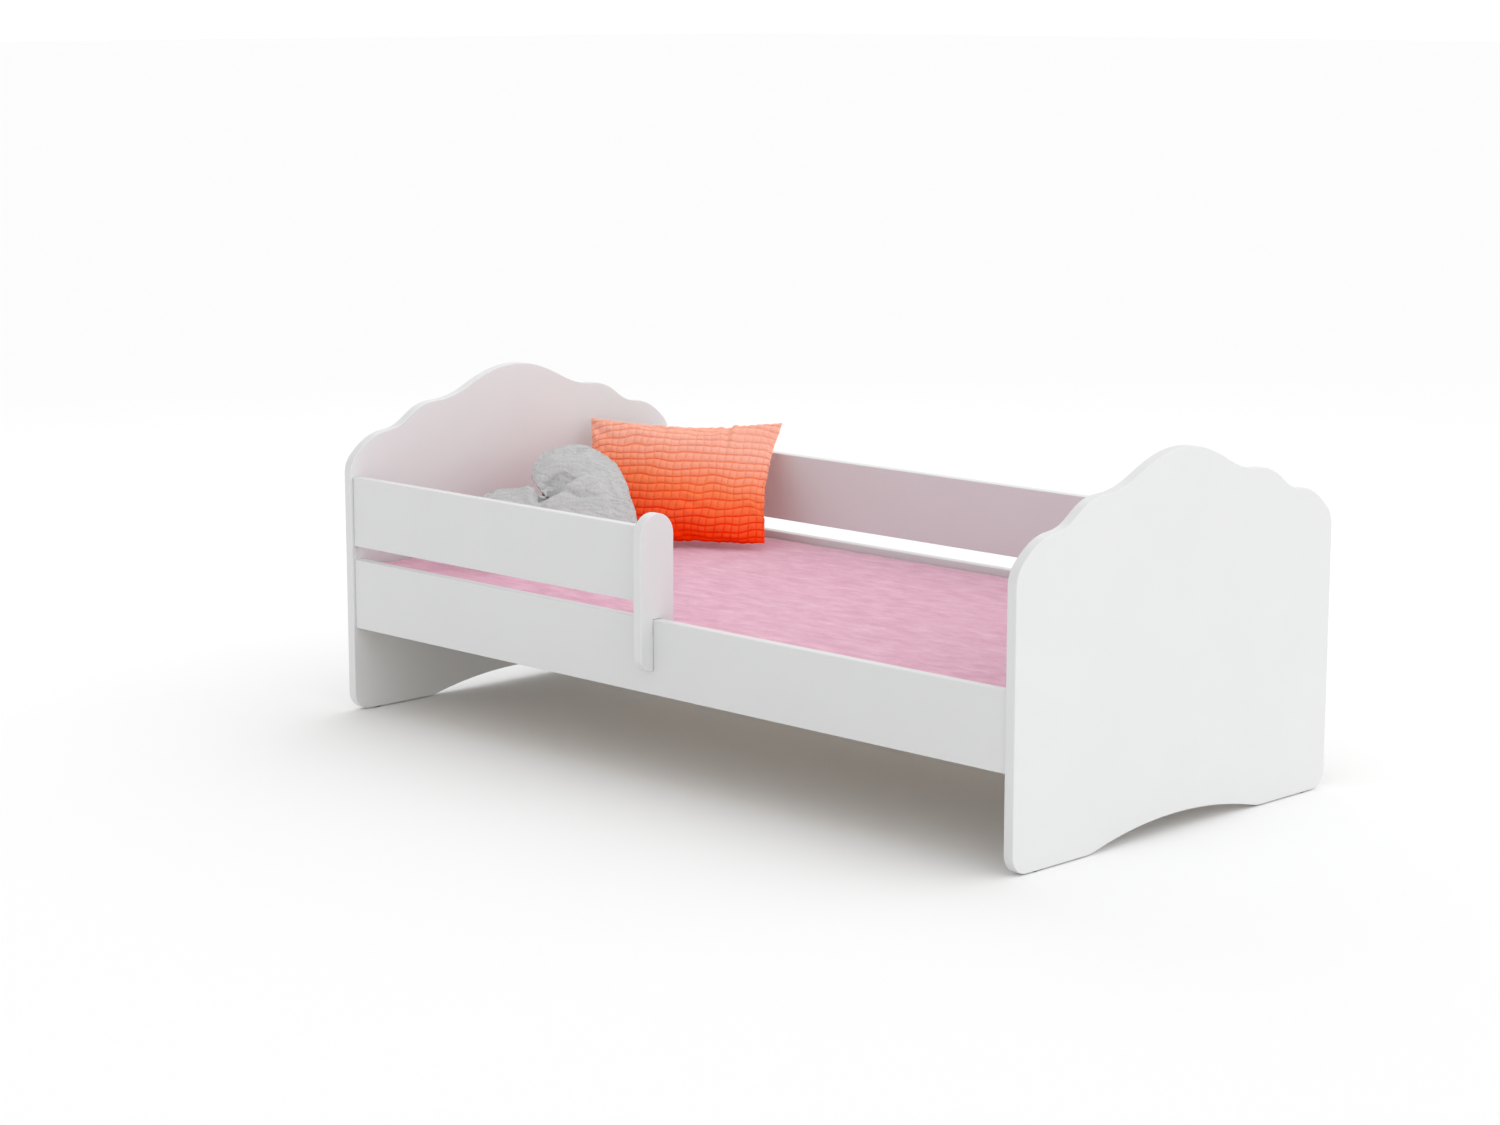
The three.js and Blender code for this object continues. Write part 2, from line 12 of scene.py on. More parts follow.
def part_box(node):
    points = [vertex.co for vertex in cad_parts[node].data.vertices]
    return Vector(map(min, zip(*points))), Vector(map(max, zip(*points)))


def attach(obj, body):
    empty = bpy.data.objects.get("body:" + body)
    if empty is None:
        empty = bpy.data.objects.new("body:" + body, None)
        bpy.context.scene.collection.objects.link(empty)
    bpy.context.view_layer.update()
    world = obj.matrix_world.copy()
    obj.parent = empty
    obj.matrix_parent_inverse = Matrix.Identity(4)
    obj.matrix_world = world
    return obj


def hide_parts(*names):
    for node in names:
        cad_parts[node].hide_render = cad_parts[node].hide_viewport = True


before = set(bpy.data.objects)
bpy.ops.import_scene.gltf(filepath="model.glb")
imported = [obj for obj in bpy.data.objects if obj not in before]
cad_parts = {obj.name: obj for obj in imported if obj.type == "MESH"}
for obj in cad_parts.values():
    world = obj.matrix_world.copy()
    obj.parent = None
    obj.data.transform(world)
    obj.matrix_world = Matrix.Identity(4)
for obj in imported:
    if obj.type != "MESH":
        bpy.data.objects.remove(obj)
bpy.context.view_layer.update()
scene = bpy.context.scene

# ------------------------------------------------------------------ camera
# A long lens from the open front corner at the foot end, a little above the panels' tops.

CAMERA_PLACE = (4.0413, -4.1638, 1.3926)
CAMERA_HEADING = 45.20
CAMERA_DOWN = 10.16
CAMERA_LENS = 76.18

bpy.ops.object.camera_add(
    location=CAMERA_PLACE,
    rotation=(math.radians(90 - CAMERA_DOWN), 0, math.radians(CAMERA_HEADING)),
)
camera = bpy.context.object
camera.data.lens = CAMERA_LENS
camera.data.sensor_width = 36
camera.data.clip_end = 200
scene.camera = camera

# ------------------------------------------------------------------ room
# A plain white studio floor under an even white dome, a little brighter from the foot end and the
# rear, with one faint softbox high behind the head end. Nothing of it belongs to the bed.

FLOOR_SIZE = 160
FLOOR_WHITE = 0.95
DOME_HORIZON = 1.03
DOME_TILT = (0.36, 0.27, 0.0)
BELOW_HORIZON = 0.6
SOFTBOX_PLACE = (-2.5, 1.6, 3.2)
SOFTBOX_SIZE = 2.4
SOFTBOX_POWER = 13


def node(tree, kind, **values):
    """A new node whose sockets and settings are given by name."""
    made = tree.nodes.new(kind)
    for name, value in values.items():
        if name in made.inputs:
            made.inputs[name].default_value = value
        else:
            setattr(made, name, value)
    return made


def deselect():
    bpy.ops.object.select_all(action="DESELECT")


def only(piece):
    """Selects one piece and nothing else, so that an operator acts on it alone."""
    deselect()
    piece.select_set(True)
    bpy.context.view_layer.objects.active = piece


bpy.ops.mesh.primitive_plane_add(size=FLOOR_SIZE, location=(0, 0, 0))
floor = bpy.context.object
floor.name = "studio_floor"
floor_paper = bpy.data.materials.new("studio_paper")
floor_paper.use_nodes = True
floor_shader = floor_paper.node_tree.nodes["Principled BSDF"]
floor_shader.inputs["Base Color"].default_value = (FLOOR_WHITE, FLOOR_WHITE, FLOOR_WHITE, 1)
floor_shader.inputs["Roughness"].default_value = 1
floor_shader.inputs["Specular IOR Level"].default_value = 0
floor.data.materials.append(floor_paper)

world = bpy.data.worlds.new("studio_dome")
world.use_nodes = True
scene.world = world
sky = world.node_tree
sky_colour = sky.nodes["Background"]
direction = node(sky, "ShaderNodeTexCoord")
tilt = node(sky, "ShaderNodeVectorMath", operation="DOT_PRODUCT")
tilt.inputs[1].default_value = DOME_TILT
glow = node(sky, "ShaderNodeMath", operation="ADD", use_clamp=False)
glow.inputs[1].default_value = DOME_HORIZON
split = node(sky, "ShaderNodeSeparateXYZ")
buried = node(sky, "ShaderNodeMath", operation="LESS_THAN")
buried.inputs[1].default_value = 0
lift = node(sky, "ShaderNodeMath", operation="MULTIPLY_ADD")
lift.inputs[1].default_value = BELOW_HORIZON
sky.links.new(direction.outputs["Generated"], tilt.inputs[0])
sky.links.new(direction.outputs["Generated"], split.inputs[0])
sky.links.new(tilt.outputs["Value"], glow.inputs[0])
sky.links.new(split.outputs["Z"], buried.inputs[0])
sky.links.new(buried.outputs[0], lift.inputs[0])
sky.links.new(glow.outputs[0], lift.inputs[2])
sky.links.new(lift.outputs[0], sky_colour.inputs["Strength"])
sky_colour.inputs["Color"].default_value = (1, 1, 1, 1)

bpy.ops.object.light_add(type="AREA", location=SOFTBOX_PLACE)
softbox = bpy.context.object
softbox.data.size = SOFTBOX_SIZE
softbox.data.energy = SOFTBOX_POWER
softbox.rotation_euler = (Vector(SOFTBOX_PLACE) - Vector((0, 0, 0.3))).to_track_quat("Z", "Y").to_euler()

scene.view_settings.view_transform = "Standard"
scene.view_settings.look = "None"

# ------------------------------------------------------------------ white boards
# Two end panels, four side boards and the guard post are sawn from 20 mm particle board faced with
# white melamine; the sawn edges carry a 2 mm band and are rounded over.

EDGE_ROUND = 0.0018
BAND_STEPS = 3
RIM_ANGLE = math.radians(50)
WIDEST_BORE = 0.05
BOARD_WHITE = (0.735, 0.738, 0.738, 1)
BAND_WHITE = (0.745, 0.748, 0.748, 1)


def new_material(name, colour, roughness, specular=0.5):
    """A material with its plain values set, its node tree and its shader."""
    material = bpy.data.materials.new(name)
    material.use_nodes = True
    shader = material.node_tree.nodes["Principled BSDF"]
    shader.inputs["Base Color"].default_value = colour
    shader.inputs["Roughness"].default_value = roughness
    shader.inputs["Specular IOR Level"].default_value = specular
    return material, material.node_tree, shader


def scaled_coords(tree, scale, source="Object"):
    """Object coordinates (or a UV map), stretched by scale along each axis."""
    coords = node(tree, "ShaderNodeTexCoord")
    mapping = node(tree, "ShaderNodeMapping")
    mapping.inputs["Scale"].default_value = scale
    tree.links.new(coords.outputs[source], mapping.inputs["Vector"])
    return mapping.outputs["Vector"]


def noise_of(tree, vector, scale, detail=2.0, roughness=0.5):
    made = node(tree, "ShaderNodeTexNoise", Scale=scale, Detail=detail, Roughness=roughness)
    tree.links.new(vector, made.inputs["Vector"])
    return made.outputs["Fac"]


def ramp_of(tree, fac, stops):
    made = node(tree, "ShaderNodeValToRGB")
    made.color_ramp.elements[0].position, made.color_ramp.elements[0].color = stops[0]
    made.color_ramp.elements[1].position, made.color_ramp.elements[1].color = stops[-1]
    for position, colour in stops[1:-1]:
        made.color_ramp.elements.new(position).color = colour
    tree.links.new(fac, made.inputs["Fac"])
    return made.outputs["Color"]


def combined(tree, operation, *parts):
    """One Math node over its parts, each a number or another node's output."""
    made = node(tree, "ShaderNodeMath", operation=operation)
    for place, part in zip(made.inputs, parts):
        if isinstance(part, bpy.types.NodeSocket):
            tree.links.new(part, place)
        else:
            place.default_value = part
    return made.outputs[0]


def spread_to(tree, value, low, high, start=0.0, end=1.0):
    """A value that runs from start to end, spread to run from low to high."""
    made = node(tree, "ShaderNodeMapRange")
    limits = {"From Min": start, "From Max": end, "To Min": low, "To Max": high}
    for name, limit in limits.items():
        made.inputs[name].default_value = limit
    tree.links.new(value, made.inputs["Value"])
    return made.outputs["Result"]


def bump_into(tree, shader, height, distance, strength=1.0, under=None):
    made = node(tree, "ShaderNodeBump", Strength=strength, Distance=distance)
    tree.links.new(height, made.inputs["Height"])
    if under is not None:
        tree.links.new(under, made.inputs["Normal"])
    tree.links.new(made.outputs["Normal"], shader.inputs["Normal"])
    return made.outputs["Normal"]


def melamine(name, colour, roughness):
    """A white facing foil: barely clouded, with a faint even orange-peel and patchy gloss."""
    material, tree, shader = new_material(name, colour, roughness, 0.45)
    coords = scaled_coords(tree, (1, 1, 1))
    cloud = noise_of(tree, coords, 9, 3)
    tone = ramp_of(tree, cloud, [
        (0.3, tuple(c * 0.985 for c in colour[:3]) + (1,)),
        (0.7, colour),
    ])
    tree.links.new(tone, shader.inputs["Base Color"])
    haze = spread_to(tree, noise_of(tree, coords, 45, 4), roughness - 0.05, roughness + 0.07)
    tree.links.new(haze, shader.inputs["Roughness"])
    bump_into(tree, shader, noise_of(tree, coords, 900, 2), 0.00006)
    return material


board_face = melamine("white_melamine", BOARD_WHITE, 0.42)
board_band = melamine("white_edge_band", BAND_WHITE, 0.34)


FITTINGS = ("_cam", "_bolt", "_dowel", "post_", "_screw_", "_glide")


def fitting_lines(board, long_axis):
    """The planes through the middles of a board's fittings, as (axis, place) pairs."""
    low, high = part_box(board)
    lines = set()
    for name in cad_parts:
        if name == board or name == "guard_post" or not any(part in name for part in FITTINGS):
            continue
        fit_low, fit_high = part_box(name)
        if all(fit_low[i] < high[i] + 1e-4 and fit_high[i] > low[i] - 1e-4 for i in range(3)):
            reach = [fit_high[i] - fit_low[i] for i in range(3)]
            axis = 2 if reach[long_axis] == max(reach) else long_axis
            lines.add((axis, round((fit_low[axis] + fit_high[axis]) / 2, 5)))
    return sorted(lines)


def merged_copy(source, name, lines=()):
    """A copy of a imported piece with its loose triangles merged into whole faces. Faces stay
    parted along lines, which run through the bores, so that no face has a hole in it."""
    piece = bpy.data.objects.new(name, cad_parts[source].data.copy())
    scene.collection.objects.link(piece)
    piece.data.materials.clear()
    corners = np.array([tuple(corner.co) for corner in piece.data.vertices])
    only(piece)
    bpy.ops.object.mode_set(mode="EDIT")
    bpy.ops.mesh.select_mode(type="EDGE")
    bpy.ops.mesh.select_all(action="SELECT")
    bpy.ops.mesh.remove_doubles(threshold=2e-5)
    for axis, middle in lines:
        nearby = middle + np.linspace(-0.0018, 0.0018, 13)
        through = Vector((0, 0, 0))
        through[axis] = max(nearby, key=lambda place: np.abs(corners[:, axis] - place).min())
        facing = Vector((0, 0, 0))
        facing[axis] = 1
        bpy.ops.mesh.select_all(action="SELECT")
        bpy.ops.mesh.bisect(plane_co=through, plane_no=facing)
        bpy.ops.mesh.mark_seam()
    bpy.ops.mesh.select_all(action="SELECT")
    bpy.ops.mesh.dissolve_limited(angle_limit=math.radians(0.4), delimit={"SEAM"})
    bpy.ops.object.mode_set(mode="OBJECT")
    return piece


def whole_rims(mesh):
    """The sharp edges of a board's own outline, in runs longer than any bore is round."""
    sharp = {edge for edge in mesh.edges if edge.calc_face_angle(0) > RIM_ANGLE}
    rims = []
    while sharp:
        run, waiting = [], [sharp.pop()]
        while waiting:
            edge = waiting.pop()
            run.append(edge)
            touching = [near for end in edge.verts for near in end.link_edges if near in sharp]
            waiting += touching
            sharp.difference_update(touching)
        ends = [end.co for edge in run for end in edge.verts]
        if max(max(end[i] for end in ends) - min(end[i] for end in ends) for i in range(3)) > WIDEST_BORE:
            rims += run
    return rims


def round_rims(piece, radius, steps):
    """Rounds the edges where a face meets a sawn edge, and leaves the bores sharp."""
    only(piece)
    bpy.ops.object.mode_set(mode="EDIT")
    bpy.ops.mesh.select_mode(type="EDGE")
    bpy.ops.mesh.select_all(action="DESELECT")
    mesh = bmesh.from_edit_mesh(piece.data)
    for edge in whole_rims(mesh):
        edge.select_set(True)
    bmesh.update_edit_mesh(piece.data)
    bpy.ops.mesh.bevel(
        offset=radius, offset_type="OFFSET", segments=steps, profile=0.5, clamp_overlap=False,
    )
    bpy.ops.mesh.select_all(action="SELECT")
    bpy.ops.mesh.quads_convert_to_tris(quad_method="BEAUTY", ngon_method="BEAUTY")
    bpy.ops.object.mode_set(mode="OBJECT")


def smooth_flat_faces(piece, angle=40):
    """Smooth shading that keeps the large faces flat."""
    only(piece)
    bpy.ops.object.shade_smooth_by_angle(angle=math.radians(angle))
    bpy.ops.object.modifier_add(type="WEIGHTED_NORMAL")
    piece.modifiers[-1].keep_sharp = True
    bpy.ops.object.modifier_apply(modifier=piece.modifiers[-1].name)


def finish_piece(piece, body, slot, *nodes):
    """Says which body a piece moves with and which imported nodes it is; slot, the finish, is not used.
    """
    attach(piece, body)
    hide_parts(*nodes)


# Each board's node, with the axes through its thickness and along its length.
BOARDS = {
    "headboard": (0, 1),
    "footboard": (0, 1),
    "guard_post": (0, 2),
    "front_rail": (1, 0),
    "rear_rail": (1, 0),
    "front_guard": (1, 0),
    "rear_guard": (1, 0),
}

for board_node, (thin_axis, long_axis) in BOARDS.items():
    board = merged_copy(board_node, f"{board_node}_board", fitting_lines(board_node, long_axis))
    round_rims(board, EDGE_ROUND, BAND_STEPS)
    board.data.materials.append(board_face)
    board.data.materials.append(board_band)
    for polygon in board.data.polygons:
        polygon.material_index = int(abs(polygon.normal[thin_axis]) < 0.98)
    smooth_flat_faces(board)
    finish_piece(board, "frame", "white_board", board_node)

# ------------------------------------------------------------------ slatted base
# Two planed pine ledgers are screwed inside the lower rails; twelve sprung beech slats lie on them,
# held evenly apart by two woven tapes, so the base rolls up for packing.

LEDGER_ROUND = 0.0015
SLAT_ROUND = 0.0022
PINE_TONES = ((0.66, 0.54, 0.38, 1), (0.74, 0.63, 0.47, 1), (0.56, 0.43, 0.28, 1))
BEECH_TONES = ((0.66, 0.55, 0.43, 1), (0.73, 0.63, 0.51, 1), (0.57, 0.45, 0.33, 1))
TAPE_TONES = ((0.66, 0.63, 0.56, 1), (0.80, 0.77, 0.70, 1))
TAPE_WEAVE = 900 / 6.3
ROUND_STEPS = {"ledger": 2, "slat": 3}


def planed_wood(name, tones, along, roughness=0.55):
    """Wood whose grain runs along one axis, with growth rings, fine pores and a little sheen."""
    material, tree, shader = new_material(name, tones[0], roughness, 0.35)
    stretch = [22.0, 22.0, 22.0]
    stretch[along] = 1.1
    grain = scaled_coords(tree, tuple(stretch))
    rings = noise_of(tree, grain, 1.6, 6, 0.62)
    tone = ramp_of(tree, rings, [(0.28, tones[2]), (0.5, tones[0]), (0.72, tones[1])])
    tree.links.new(tone, shader.inputs["Base Color"])
    stretch = [900.0, 900.0, 900.0]
    stretch[along] = 26.0
    pores = noise_of(tree, scaled_coords(tree, tuple(stretch)), 1.0, 3, 0.6)
    under = bump_into(tree, shader, rings, 0.0003, 0.5)
    bump_into(tree, shader, pores, 0.00015, 0.6, under)
    return material


pine = planed_wood("planed_pine", PINE_TONES, 0)
beech = planed_wood("planed_beech", BEECH_TONES, 1)
for side in ("front", "rear"):
    ledger_node = f"{side}_ledger"
    ledger = merged_copy(ledger_node, f"{side}_pine_ledger", fitting_lines(ledger_node, 0))
    round_rims(ledger, LEDGER_ROUND, ROUND_STEPS["ledger"])
    ledger.data.materials.append(pine)
    smooth_flat_faces(ledger)
    finish_piece(ledger, "frame", "pine", ledger_node)
for number in range(1, 13):
    slat = merged_copy(f"slat_{number}", f"beech_slat_{number}")
    round_rims(slat, SLAT_ROUND, ROUND_STEPS["slat"])
    slat.data.materials.append(beech)
    smooth_flat_faces(slat)
    finish_piece(slat, "frame", "beech", f"slat_{number}")

webbing, webbing_tree, webbing_shader = new_material("woven_tape", TAPE_TONES[1], 0.85, 0.2)
webbing_shader.inputs["Sheen Weight"].default_value = 0.25
warp = node(webbing_tree, "ShaderNodeTexWave", bands_direction="X", Scale=TAPE_WEAVE)
weft = node(webbing_tree, "ShaderNodeTexWave", bands_direction="Y", Scale=TAPE_WEAVE)
webbing_coords = scaled_coords(webbing_tree, (1, 1, 1))
webbing_tree.links.new(webbing_coords, warp.inputs["Vector"])
webbing_tree.links.new(webbing_coords, weft.inputs["Vector"])
crossing = combined(webbing_tree, "MULTIPLY", warp.outputs["Fac"], weft.outputs["Fac"])
tone = ramp_of(webbing_tree, crossing, [(0.0, TAPE_TONES[0]), (0.6, TAPE_TONES[1])])
webbing_tree.links.new(tone, webbing_shader.inputs["Base Color"])
bump_into(webbing_tree, webbing_shader, crossing, 0.0003)


def refinish(name, material):
    """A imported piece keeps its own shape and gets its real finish."""
    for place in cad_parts[name].material_slots:
        place.material = material


for side in ("front", "rear"):
    refinish(f"{side}_slat_tape", webbing)

# ------------------------------------------------------------------ fittings
# Each rail end is drawn up by a zinc cam on a steel bolt beside a plain beech dowel; the guard
# post is doweled and screwed, the ledgers are screwed, and black plastic glides are nailed below.


def cast_metal(name, colour, roughness, grain):
    """Small zinc and steel fittings, spotted and a little uneven in gloss."""
    material, tree, shader = new_material(name, colour, roughness, 0.5)
    shader.inputs["Metallic"].default_value = 1
    coords = scaled_coords(tree, (1, 1, 1))
    spots = noise_of(tree, coords, grain, 3)
    tone = ramp_of(tree, spots, [(0.3, tuple(c * 0.82 for c in colour[:3]) + (1,)), (0.7, colour)])
    tree.links.new(tone, shader.inputs["Base Color"])
    haze = spread_to(tree, noise_of(tree, coords, grain * 0.4, 2), roughness - 0.08, roughness + 0.1)
    tree.links.new(haze, shader.inputs["Roughness"])
    bump_into(tree, shader, spots, 0.00008, 0.6)
    return material


zinc = cast_metal("die_cast_zinc", (0.50, 0.51, 0.53, 1), 0.45, 1400)
steel = cast_metal("plated_steel", (0.62, 0.62, 0.64, 1), 0.30, 2200)
dowel_beech = planed_wood("turned_beech", BEECH_TONES, 0)

GLIDE_TONES = ((0.014, 0.014, 0.015, 1), (0.028, 0.028, 0.03, 1))
glide_plastic, glide_tree, glide_shader = new_material("black_glide", (0.02, 0.02, 0.022, 1), 0.5, 0.5)
glide_grain = noise_of(glide_tree, scaled_coords(glide_tree, (1, 1, 1)), 2500, 2)
tone = ramp_of(glide_tree, glide_grain, [(0.3, GLIDE_TONES[0]), (0.7, GLIDE_TONES[1])])
glide_tree.links.new(tone, glide_shader.inputs["Base Color"])
bump_into(glide_tree, glide_shader, glide_grain, 0.00012)

for joint in (
    "front_rail_head", "front_rail_foot", "rear_rail_head", "rear_rail_foot",
    "front_guard_head", "rear_guard_head", "rear_guard_foot",
):
    refinish(f"{joint}_cam", zinc)
    refinish(f"{joint}_bolt", steel)
    refinish(f"{joint}_dowel", dowel_beech)
for number in (1, 2):
    refinish(f"post_dowel_{number}", dowel_beech)
    refinish(f"post_screw_{number}", steel)
    refinish(f"front_ledger_screw_{number}", steel)
    refinish(f"rear_ledger_screw_{number}", steel)
for end in ("head", "foot"):
    for side in ("front", "rear"):
        refinish(f"{end}_{side}_glide", glide_plastic)

# ------------------------------------------------------------------ mattress
# A firm foam block in a sewn cover of pink long-pile plush. Its edges are full and round, the pile
# lies in streaks along the bed, and a seam runs round the sides at half height.

MATTRESS_GRAIN = 0.0065
MATTRESS_ROUNDING = 16
PILE_DEPTH = 0.0009
SEAM_DEPTH = 0.0016
PLUSH_TONES = ((0.64, 0.28, 0.41, 1), (0.755, 0.38, 0.51, 1), (0.86, 0.52, 0.64, 1))


def mesh_points(piece):
    points = np.empty(len(piece.data.vertices) * 3)
    piece.data.vertices.foreach_get("co", points)
    return points.reshape(-1, 3)


def mesh_normals(piece):
    normals = np.empty(len(piece.data.vertices) * 3)
    piece.data.vertices.foreach_get("normal", normals)
    return normals.reshape(-1, 3)


def set_points(piece, points):
    piece.data.vertices.foreach_set("co", points.ravel())
    piece.data.update()


def wander(points, scale, seed):
    """Smooth seeded noise, about -1 to 1, at each point."""
    shift = Vector((seed * 7.3, seed * 3.1, seed * 5.7))
    return np.array([noise.noise(Vector(point) * scale + shift) for point in points])


mattress = merged_copy("mattress", "plush_mattress")
mattress_low, mattress_high = (Vector(corner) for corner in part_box("mattress"))
only(mattress)
mattress.data.remesh_voxel_size = MATTRESS_GRAIN
bpy.ops.object.voxel_remesh()
bpy.ops.object.mode_set(mode="EDIT")
bpy.ops.mesh.select_all(action="SELECT")
bpy.ops.mesh.vertices_smooth(factor=0.5, repeat=MATTRESS_ROUNDING)
bpy.ops.object.mode_set(mode="OBJECT")
points = mesh_points(mattress)
normals = mesh_normals(mattress)
upright = 1 - np.abs(normals[:, 2])
mid_height = (mattress_low.z + mattress_high.z) / 2
seam = np.exp(-((points[:, 2] - mid_height) / 0.004) ** 2) * upright * SEAM_DEPTH
pile = (wander(points * (0.6, 2.0, 2.0), 38, 1) - 0.6) * PILE_DEPTH
set_points(mattress, points + normals * (pile - seam)[:, None])
bpy.ops.object.shade_smooth()

plush, plush_tree, plush_shader = new_material("pink_plush", PLUSH_TONES[1], 0.95, 0.12)
plush_shader.inputs["Sheen Weight"].default_value = 0.35
plush_shader.inputs["Sheen Roughness"].default_value = 0.55
streaks = noise_of(plush_tree, scaled_coords(plush_tree, (15, 38, 38)), 1.0, 8, 0.72)
tufts = noise_of(plush_tree, scaled_coords(plush_tree, (420, 640, 640)), 1.0, 3, 0.7)
mixed = combined(plush_tree, "MULTIPLY_ADD", tufts, 0.6, streaks)
tone = ramp_of(plush_tree, mixed, [
    (0.58, PLUSH_TONES[0]), (0.79, PLUSH_TONES[1]), (1.0, PLUSH_TONES[2]),
])
plush_tree.links.new(tone, plush_shader.inputs["Base Color"])
under = bump_into(plush_tree, plush_shader, streaks, 0.002, 0.5)
bump_into(plush_tree, plush_shader, tufts, 0.0012, 0.7, under)
mattress.data.materials.append(plush)

TICKING_TONES = ((0.66, 0.66, 0.65, 1), (0.78, 0.78, 0.77, 1))
UNDERSIDE = -0.75
ticking, ticking_tree, ticking_shader = new_material("white_ticking", (0.74, 0.74, 0.73, 1), 0.9, 0.2)
threads = noise_of(ticking_tree, scaled_coords(ticking_tree, (700, 1500, 1)), 1.0, 2, 0.6)
tone = ramp_of(ticking_tree, threads, [(0.35, TICKING_TONES[0]), (0.65, TICKING_TONES[1])])
ticking_tree.links.new(tone, ticking_shader.inputs["Base Color"])
bump_into(ticking_tree, ticking_shader, threads, 0.0003)
mattress.data.materials.append(ticking)
for polygon in mattress.data.polygons:
    polygon.material_index = int(polygon.normal.z < UNDERSIDE)
finish_piece(mattress, "mattress", "pink_plush", "mattress")

# ------------------------------------------------------------------ quilted pillow
# Orange heathered cotton, two equal panels sewn edge to edge and stitched in a small square grid,
# then stuffed with fibre. It leans in the corner with its lower edge pressed flat on the mattress.

QUILT_CUT = (0.452, 0.318)
QUILT_SIZE = (0.410, 0.280)
QUILT_BOW = (0.018, 0.002, 0.020)
QUILT_THICKNESS = 0.058
BED_CORNER = (-0.8585, -0.4125, 0.002)
QUILT_PLACE = tuple(side + corner for side, corner in zip((0.257, 0.649, 0.416), BED_CORNER))
QUILT_TURN = (31.6, 53, 0.6)
QUILT_SQUARE = 0.018
QUILT_PUFF = 0.0042
QUILT_WOBBLE = 0.0072
QUILT_FOLDS = (
    (((93, 132), (97, 90), (96, 50)), 0.005, 0.007, 0.07),
    (((197, 8), (182, -18), (159, 32)), 0.003, 0.006, 0.06),
    (((195, -76), (176, -52), (155, -30)), 0.004, 0.006, 0.05),
    (((-196, 120), (-150, 84), (-96, 60)), 0.003, 0.008, 0.08),
    (((-30, 128), (-44, 96), (-40, 70)), 0.002, 0.007, 0.05),
    (((30, -60), (62, -76), (104, -84)), 0.003, 0.008, 0.06),
)
CLOTH_STEP = 0.0105
LAYER_GAP = 0.004
STUFFING_PRESSURE = 5
STUFFING_FRAMES = 24
CLOTH_STRETCH = 18
CLOTH_BEND = 0.35


def cut_two_layers(name, seam_line, step):
    """Two layers of cloth cut along one closed line, joined there, and a little apart inside it.
    A sharp corner gets its own inner point, because the layers part only at inner points."""
    seam = np.array(seam_line)
    low, high = seam.min(axis=0), seam.max(axis=0)
    inner = []
    for row, y in enumerate(np.arange(low[1], high[1], step * 0.866)):
        for x in np.arange(low[0] + (row % 2) * step / 2, high[0], step):
            inner.append((x, y))
    inward = np.roll(seam, -1, axis=0) + np.roll(seam, 1, axis=0) - 2 * seam
    sharp = np.linalg.norm(inward, axis=1) > 0.9 * step
    inner = np.vstack([inner, seam[sharp] + 0.8 * inward[sharp]])
    room = measured_to(inner, seam)[0]
    inner = inner[(room > step * 0.55) & inside_line(inner, seam)]
    flat = [Vector(point) for point in np.vstack([seam, inner])]
    count = len(seam)
    ring = [(corner, (corner + 1) % count) for corner in range(count)]
    cut, _, faces, *_ = delaunay_2d_cdt(flat, ring, [], 1, 1e-7)
    spread = measured_to(np.array([tuple(point) for point in cut]), seam)[0]
    front = [(p.x, p.y, LAYER_GAP * min(1, room / 0.02)) for p, room in zip(cut, spread)]
    back = [(x, y, -z) for x, y, z in front[count:]]
    shift = len(front) - count
    sides = [tuple(face) for face in faces if max(face) >= count]
    sides += [tuple(v if v < count else v + shift for v in reversed(face)) for face in sides]
    mesh = bpy.data.meshes.new(name)
    mesh.from_pydata(front + back, [], sides)
    sheet = mesh.uv_layers.new(name="cloth")
    spots = front + back
    for loop in mesh.loops:
        sheet.data[loop.index].uv = spots[loop.vertex_index][:2]
    cushion = bpy.data.objects.new(name, mesh)
    scene.collection.objects.link(cushion)
    return cushion


def measured_to(points, line, closed=True):
    """How far each point lies from a line, and how far along the line its nearest place is."""
    nearest = np.full(len(points), 1e9)
    walked = np.zeros(len(points))
    passed = 0
    ends = np.roll(line, -1, axis=0) if closed else line[1:]
    for start, end in zip(line, ends):
        along = end - start
        share = np.clip(((points - start) @ along) / (along @ along), 0, 1)
        room = np.linalg.norm(points - start - share[:, None] * along, axis=1)
        walked = np.where(room < nearest, passed + share * np.linalg.norm(along), walked)
        nearest = np.minimum(nearest, room)
        passed += np.linalg.norm(along)
    return nearest, walked


def inside_line(points, line):
    """Whether each point lies inside a closed line."""
    crossed = np.zeros(len(points), dtype=bool)
    for (x0, y0), (x1, y1) in zip(line, np.roll(line, -1, axis=0)):
        spans = (y0 > points[:, 1]) != (y1 > points[:, 1])
        if y0 != y1:
            crossed ^= spans & (points[:, 0] < x0 + (points[:, 1] - y0) * (x1 - x0) / (y1 - y0))
    return crossed


def stuff(cushion):
    """Blows the joined layers up like stuffing, and keeps the shape they take."""
    only(cushion)
    bpy.ops.object.modifier_add(type="CLOTH")
    stuffing = cushion.modifiers[-1]
    stuffing.settings.quality = 7
    stuffing.settings.mass = 0.25
    stuffing.settings.tension_stiffness = CLOTH_STRETCH
    stuffing.settings.compression_stiffness = CLOTH_STRETCH
    stuffing.settings.bending_stiffness = CLOTH_BEND
    stuffing.settings.use_pressure = True
    stuffing.settings.uniform_pressure_force = STUFFING_PRESSURE
    stuffing.settings.effector_weights.gravity = 0
    stuffing.point_cache.frame_end = STUFFING_FRAMES
    for step in range(1, STUFFING_FRAMES + 1):
        scene.frame_set(step)
    bpy.ops.object.modifier_apply(modifier=stuffing.name)
    scene.frame_set(1)


